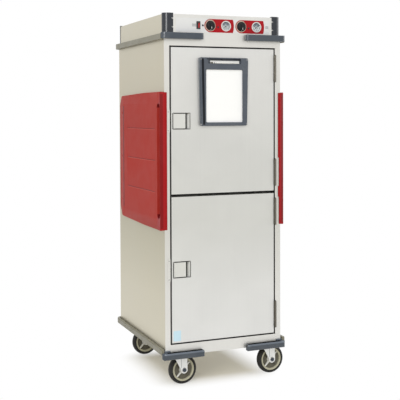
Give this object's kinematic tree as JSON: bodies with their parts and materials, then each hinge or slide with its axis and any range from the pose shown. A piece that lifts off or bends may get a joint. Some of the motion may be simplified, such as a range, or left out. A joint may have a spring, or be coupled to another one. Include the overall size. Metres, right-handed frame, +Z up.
{
  "type": "proofing cabinet",
  "caption": "Tall insulated heated proofing cabinet with two stacked doors, red side panels, corner bumpers and swivel casters.",
  "frame": {"origin": "on the floor, under the middle of the insulated body", "axes": "+X to the right seen from the front, +Y from the doors towards the back, +Z up"},
  "size_m": [0.7264, 0.824, 1.905],
  "materials": {
    "side_steel": "satin",
    "frame_steel": "satin",
    "liner_steel": "satin",
    "door_steel": "satin",
    "foam": "cellular",
    "hinge_steel": "satin",
    "latch_grey": "satin",
    "red_plastic": "satin",
    "blue_grey_plastic": "satin",
    "rail_grey": "satin",
    "fascia_grey": "satin",
    "black_plastic": "satin",
    "rocker_red": "lit",
    "lamp_red": "dark, unlit",
    "gauge_metal": "bright",
    "gauge_glass": "clear",
    "needle_black": "matt",
    "gasket_rubber": "matt",
    "holder_grey": "satin",
    "sheet_paper": "plain",
    "pen_white": "smooth",
    "element_sheath": "heat darkened",
    "motor_grey": "satin",
    "fan_metal": "satin",
    "zinc_plate": "bright zinc",
    "wheel_black": "matt"
  },
  "bodies": {
    "cabinet": {"outer_shell": "side_steel", "base_frame": "side_steel", "insulation": "foam", "front_frame": "frame_steel", "thermal_break": "black_plastic", "cavity_liners": "liner_steel", "top_housing": "side_steel", "fascia_panel": "fascia_grey", "thermostats": "motor_grey", "pilot_lamps": "lamp_red", "rocker_bezel": "black_plastic", "thermometer_cases": "gauge_metal", "thermometer_lenses": "gauge_glass", "corner_posts": "blue_grey_plastic", "front_bumpers": "blue_grey_plastic", "bumper_rails": "rail_grey", "side_panel_left": "red_plastic", "side_panel_right": "red_plastic", "strike_plates": "frame_steel", "frame_hinges": "hinge_steel", "side_racks": "liner_steel", "heater_covers": "liner_steel", "heater_elements": "element_sheath", "fan_motors": "motor_grey", "power_inlet": "black_plastic", "caster_plates": "zinc_plate"},
    "upper_door": {"upper_door_skin": "door_steel", "upper_door_core": "foam", "upper_door_liner": "liner_steel", "upper_gasket": "gasket_rubber", "upper_door_hinges": "hinge_steel", "upper_latch_cup": "latch_grey", "document_holder": "holder_grey", "record_sheet": "sheet_paper"},
    "lower_door": {"lower_door_skin": "door_steel", "lower_door_core": "foam", "lower_door_liner": "liner_steel", "lower_gasket": "gasket_rubber", "lower_door_hinges": "hinge_steel", "lower_latch_cup": "latch_grey"},
    "upper_paddle": {"upper_paddle": "latch_grey"},
    "upper_bolt": {"upper_bolt": "hinge_steel"},
    "lower_paddle": {"lower_paddle": "latch_grey"},
    "lower_bolt": {"lower_bolt": "hinge_steel"},
    "pen": {"pen": "pen_white"},
    "upper_knob": {"upper_knob": "black_plastic"},
    "lower_knob": {"lower_knob": "black_plastic"},
    "rocker_switch": {"rocker_switch": "rocker_red"},
    "upper_needle": {"upper_needle": "needle_black"},
    "lower_needle": {"lower_needle": "needle_black"},
    "upper_fan": {"upper_fan": "fan_metal"},
    "lower_fan": {"lower_fan": "fan_metal"},
    "front_left_caster": {"front_left_fork": "zinc_plate"},
    "front_left_wheel": {"front_left_wheel": "wheel_black"},
    "front_right_caster": {"front_right_fork": "zinc_plate"},
    "front_right_wheel": {"front_right_wheel": "wheel_black"},
    "rear_left_caster": {"rear_left_fork": "zinc_plate"},
    "rear_left_wheel": {"rear_left_wheel": "wheel_black"},
    "rear_right_caster": {"rear_right_fork": "zinc_plate"},
    "rear_right_wheel": {"rear_right_wheel": "wheel_black"}
  },
  "joints": [
    {"name": "upper_door_swing", "type": "hinge", "parent": "cabinet", "child": "upper_door", "pos_m": [0.2935, -0.388, 1.3615], "axis": [0, 0, 1], "range_deg": [0, 180]},
    {"name": "upper_paddle_pull", "type": "hinge", "parent": "upper_door", "child": "upper_paddle", "pos_m": [-0.272, -0.38, 1.3615], "axis": [0, 0, -1], "range_deg": [0, 40], "stiffness_Nm_per_rad": 0.6, "springref_deg": -20.05},
    {"name": "upper_bolt_slide", "type": "slide", "parent": "upper_door", "child": "upper_bolt", "axis": [1, 0, 0], "range_m": [0, 0.005]},
    {"name": "lower_door_swing", "type": "hinge", "parent": "cabinet", "child": "lower_door", "pos_m": [0.2935, -0.388, 0.6085], "axis": [0, 0, 1], "range_deg": [0, 180]},
    {"name": "lower_paddle_pull", "type": "hinge", "parent": "lower_door", "child": "lower_paddle", "pos_m": [-0.272, -0.38, 0.6085], "axis": [0, 0, -1], "range_deg": [0, 40], "stiffness_Nm_per_rad": 0.6, "springref_deg": -20.05},
    {"name": "lower_bolt_slide", "type": "slide", "parent": "lower_door", "child": "lower_bolt", "axis": [1, 0, 0], "range_m": [0, 0.005]},
    {"name": "pen_lift", "type": "slide", "parent": "upper_door", "child": "pen", "axis": [0, -1, 0], "range_m": [0, 0.04]},
    {"name": "upper_knob_turn", "type": "hinge", "parent": "cabinet", "child": "upper_knob", "pos_m": [-0.0735, -0.39, 1.847], "axis": [0, 1, 0], "range_deg": [0, 300]},
    {"name": "lower_knob_turn", "type": "hinge", "parent": "cabinet", "child": "lower_knob", "pos_m": [0.0995, -0.39, 1.847], "axis": [0, 1, 0], "range_deg": [0, 300]},
    {"name": "rocker_tip", "type": "hinge", "parent": "cabinet", "child": "rocker_switch", "pos_m": [-0.1395, -0.382, 1.847], "axis": [-1, 0, 0], "range_deg": [0, 20]},
    {"name": "upper_needle_sweep", "type": "hinge", "parent": "cabinet", "child": "upper_needle", "pos_m": [0.013, -0.38, 1.847], "axis": [0, 1, 0], "range_deg": [0, 270]},
    {"name": "lower_needle_sweep", "type": "hinge", "parent": "cabinet", "child": "lower_needle", "pos_m": [0.186, -0.38, 1.847], "axis": [0, 1, 0], "range_deg": [0, 270]},
    {"name": "upper_fan_spin", "type": "hinge", "parent": "cabinet", "child": "upper_fan", "pos_m": [0, 0.2, 1.053], "axis": [0, 0, 1], "continuous": true},
    {"name": "lower_fan_spin", "type": "hinge", "parent": "cabinet", "child": "lower_fan", "pos_m": [0, 0.2, 0.296], "axis": [0, 0, 1], "continuous": true},
    {"name": "front_left_swivel", "type": "hinge", "parent": "cabinet", "child": "front_left_caster", "pos_m": [-0.253, -0.303, 0.158], "axis": [0, 0, 1], "continuous": true},
    {"name": "front_left_roll", "type": "hinge", "parent": "front_left_caster", "child": "front_left_wheel", "pos_m": [-0.20312, -0.29951, 0.076], "axis": [0.0698, -0.9976, 0], "continuous": true},
    {"name": "front_right_swivel", "type": "hinge", "parent": "cabinet", "child": "front_right_caster", "pos_m": [0.253, -0.303, 0.158], "axis": [0, 0, 1], "continuous": true},
    {"name": "front_right_roll", "type": "hinge", "parent": "front_right_caster", "child": "front_right_wheel", "pos_m": [0.30288, -0.29951, 0.076], "axis": [0.0698, -0.9976, 0], "continuous": true},
    {"name": "rear_left_swivel", "type": "hinge", "parent": "cabinet", "child": "rear_left_caster", "pos_m": [-0.253, 0.303, 0.158], "axis": [0, 0, 1], "continuous": true},
    {"name": "rear_left_roll", "type": "hinge", "parent": "rear_left_caster", "child": "rear_left_wheel", "pos_m": [-0.20312, 0.30649, 0.076], "axis": [0.0698, -0.9976, 0], "continuous": true},
    {"name": "rear_right_swivel", "type": "hinge", "parent": "cabinet", "child": "rear_right_caster", "pos_m": [0.253, 0.303, 0.158], "axis": [0, 0, 1], "continuous": true},
    {"name": "rear_right_roll", "type": "hinge", "parent": "rear_right_caster", "child": "rear_right_wheel", "pos_m": [0.30288, 0.30649, 0.076], "axis": [0.0698, -0.9976, 0], "continuous": true}
  ],
  "couplings": [
    {"joint": "upper_bolt_slide", "follows": "upper_paddle_pull", "m_per_rad": 0.00716},
    {"joint": "lower_bolt_slide", "follows": "lower_paddle_pull", "m_per_rad": 0.00716}
  ]
}
